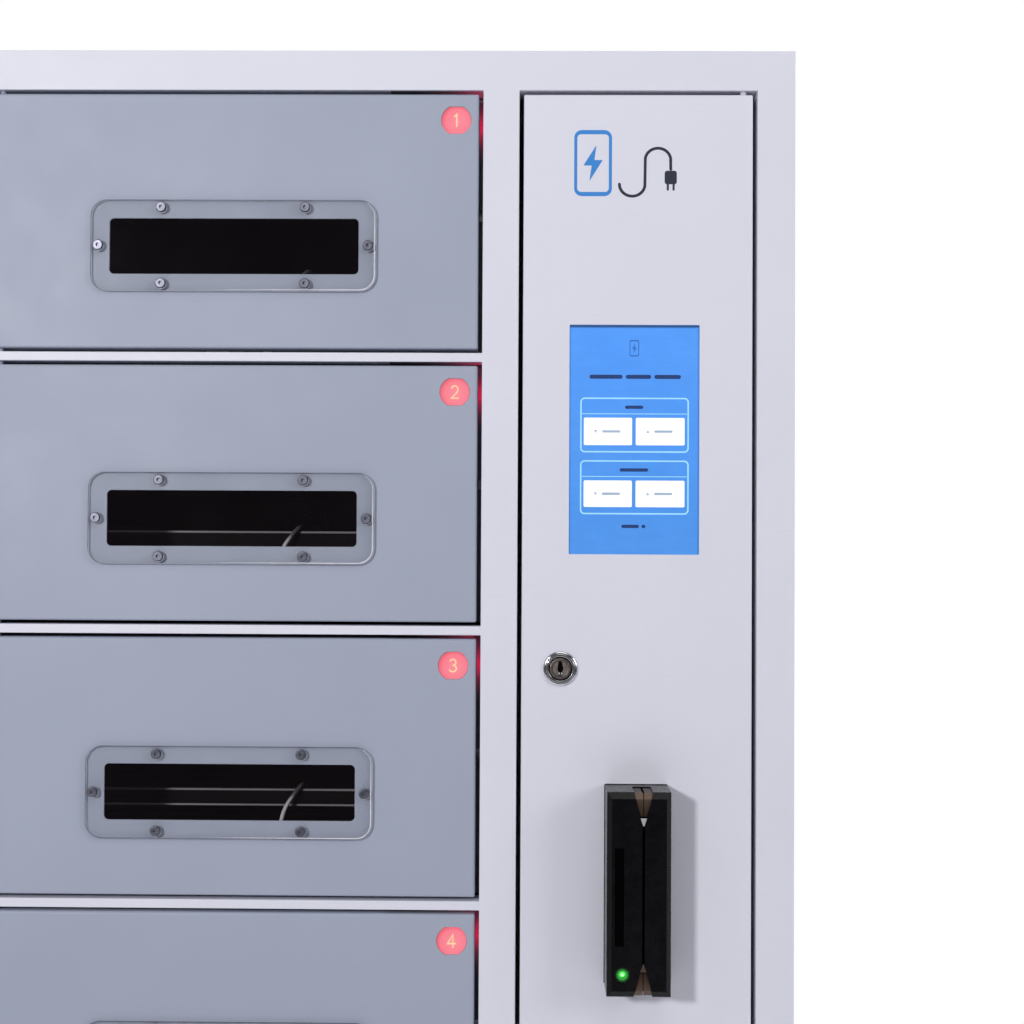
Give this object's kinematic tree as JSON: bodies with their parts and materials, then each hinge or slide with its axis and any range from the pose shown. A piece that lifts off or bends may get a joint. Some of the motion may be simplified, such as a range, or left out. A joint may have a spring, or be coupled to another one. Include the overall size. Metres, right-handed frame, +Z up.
{
  "type": "phone charging kiosk",
  "caption": "Free-standing steel locker kiosk with a column of charging compartments behind windowed doors, and a control door with a touch screen and card reader.",
  "frame": {"origin": "centre of the bounding box on the floor, under the cabinet", "axes": "+Z up, -Y out of the front with the doors, +X to the right seen from the front"},
  "size_m": [0.563, 0.439, 1.533],
  "materials": {
    "door_paint": "satin",
    "white_paint": "satin",
    "inner_steel": "satin",
    "black_paint": "matte",
    "window_plate": "gloss",
    "number_light": "gloss",
    "dark_steel": "satin",
    "zinc_steel": "satin",
    "lock_steel": "satin",
    "black_plastic": "matte",
    "rubber": "matte",
    "white_plastic": "satin",
    "screen_glass": "gloss",
    "display": "gloss",
    "reader_plastic": "gloss",
    "green_lamp": "gloss",
    "chrome": "polished"
  },
  "bodies": {
    "cabinet": {"frame_stiles": "white_paint", "frame_rails": "white_paint", "side_panels": "white_paint", "top_panel": "white_paint", "base_panel": "white_paint", "rear_panel": "white_paint", "rear_screws": "zinc_steel", "partition": "inner_steel", "compartment_floors": "black_paint", "phone_trays": "black_paint", "charger_wall": "black_paint", "charger_modules": "black_plastic", "latch_locks": "lock_steel", "foot_pads": "rubber", "foot_studs": "zinc_steel", "power_inlet": "black_plastic", "fan_frame": "black_plastic", "power_supply": "zinc_steel", "charging_leads": "white_plastic", "charging_plugs": "white_plastic"},
    "compartment_door_1": {"door_1": "door_paint", "window_1": "window_plate", "number_light_1": "number_light", "fittings_1": "dark_steel"},
    "compartment_door_2": {"door_2": "door_paint", "window_2": "window_plate", "number_light_2": "number_light", "fittings_2": "dark_steel"},
    "compartment_door_3": {"door_3": "door_paint", "window_3": "window_plate", "number_light_3": "number_light", "fittings_3": "dark_steel"},
    "compartment_door_4": {"door_4": "door_paint", "window_4": "window_plate", "number_light_4": "number_light", "fittings_4": "dark_steel"},
    "compartment_door_5": {"door_5": "door_paint", "window_5": "window_plate", "number_light_5": "number_light", "fittings_5": "dark_steel"},
    "compartment_door_6": {"door_6": "door_paint", "window_6": "window_plate", "number_light_6": "number_light", "fittings_6": "dark_steel"},
    "compartment_door_7": {"door_7": "door_paint", "window_7": "window_plate", "number_light_7": "number_light", "fittings_7": "dark_steel"},
    "compartment_door_8": {"door_8": "door_paint", "window_8": "window_plate", "number_light_8": "number_light", "fittings_8": "dark_steel"},
    "control_panel": {"control_door": "white_paint", "screen_glass": "screen_glass", "display_module": "display", "card_reader": "reader_plastic", "reader_lamp": "green_lamp", "lock_body": "chrome"},
    "key_plug": {"lock_plug": "dark_steel"},
    "fan": {"fan_rotor": "black_plastic"}
  },
  "joints": [
    {"name": "door_1_hinge", "type": "hinge", "parent": "cabinet", "child": "compartment_door_1", "pos_m": [-0.2475, -0.1795, 1.419], "axis": [0, 0, -1], "range_deg": [0, 110]},
    {"name": "door_2_hinge", "type": "hinge", "parent": "cabinet", "child": "compartment_door_2", "pos_m": [-0.2475, -0.1795, 1.238], "axis": [0, 0, -1], "range_deg": [0, 110]},
    {"name": "door_3_hinge", "type": "hinge", "parent": "cabinet", "child": "compartment_door_3", "pos_m": [-0.2475, -0.1795, 1.057], "axis": [0, 0, -1], "range_deg": [0, 110]},
    {"name": "door_4_hinge", "type": "hinge", "parent": "cabinet", "child": "compartment_door_4", "pos_m": [-0.2475, -0.1795, 0.876], "axis": [0, 0, -1], "range_deg": [0, 110]},
    {"name": "door_5_hinge", "type": "hinge", "parent": "cabinet", "child": "compartment_door_5", "pos_m": [-0.2475, -0.1795, 0.695], "axis": [0, 0, -1], "range_deg": [0, 110]},
    {"name": "door_6_hinge", "type": "hinge", "parent": "cabinet", "child": "compartment_door_6", "pos_m": [-0.2475, -0.1795, 0.514], "axis": [0, 0, -1], "range_deg": [0, 110]},
    {"name": "door_7_hinge", "type": "hinge", "parent": "cabinet", "child": "compartment_door_7", "pos_m": [-0.2475, -0.1795, 0.333], "axis": [0, 0, -1], "range_deg": [0, 110]},
    {"name": "door_8_hinge", "type": "hinge", "parent": "cabinet", "child": "compartment_door_8", "pos_m": [-0.2475, -0.1795, 0.152], "axis": [0, 0, -1], "range_deg": [0, 110]},
    {"name": "control_door_hinge", "type": "hinge", "parent": "cabinet", "child": "control_panel", "pos_m": [0.2475, -0.1795, 0.7855], "axis": [0, 0, 1], "range_deg": [0, 110]},
    {"name": "key_turn", "type": "hinge", "parent": "control_panel", "child": "key_plug", "pos_m": [0.1273, -0.1795, 1.123], "axis": [0, 1, 0], "range_deg": [0, 90]},
    {"name": "fan_spin", "type": "hinge", "parent": "cabinet", "child": "fan", "pos_m": [0.1775, 0.2005, 1.438], "axis": [0, 1, 0], "continuous": true}
  ]
}
